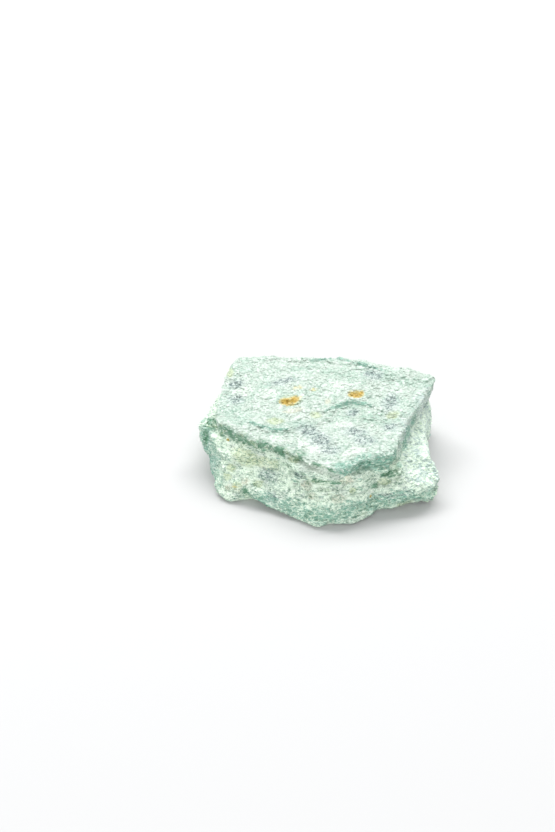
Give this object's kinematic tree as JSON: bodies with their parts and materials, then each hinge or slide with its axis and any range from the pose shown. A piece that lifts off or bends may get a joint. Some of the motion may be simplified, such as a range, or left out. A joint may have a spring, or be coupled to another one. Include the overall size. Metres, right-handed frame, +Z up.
{
  "type": "fuchsite",
  "caption": "Rough piece of fuchsite, a pale green mica schist: a broken top slab on a wider lower slab, with stepped sides and ochre spots.",
  "frame": {"origin": "centre of the bounding box in plan, on the surface that the stone rests on", "axes": "+X along the stone's longest side, +Y from the stepped front to the back, +Z up across the mica sheets"},
  "size_m": [0.0582, 0.0474, 0.0181],
  "materials": {
    "fuchsite": "rough, silvery on the split faces"
  },
  "bodies": {
    "root": {"stone": "fuchsite"}
  },
  "joints": []
}
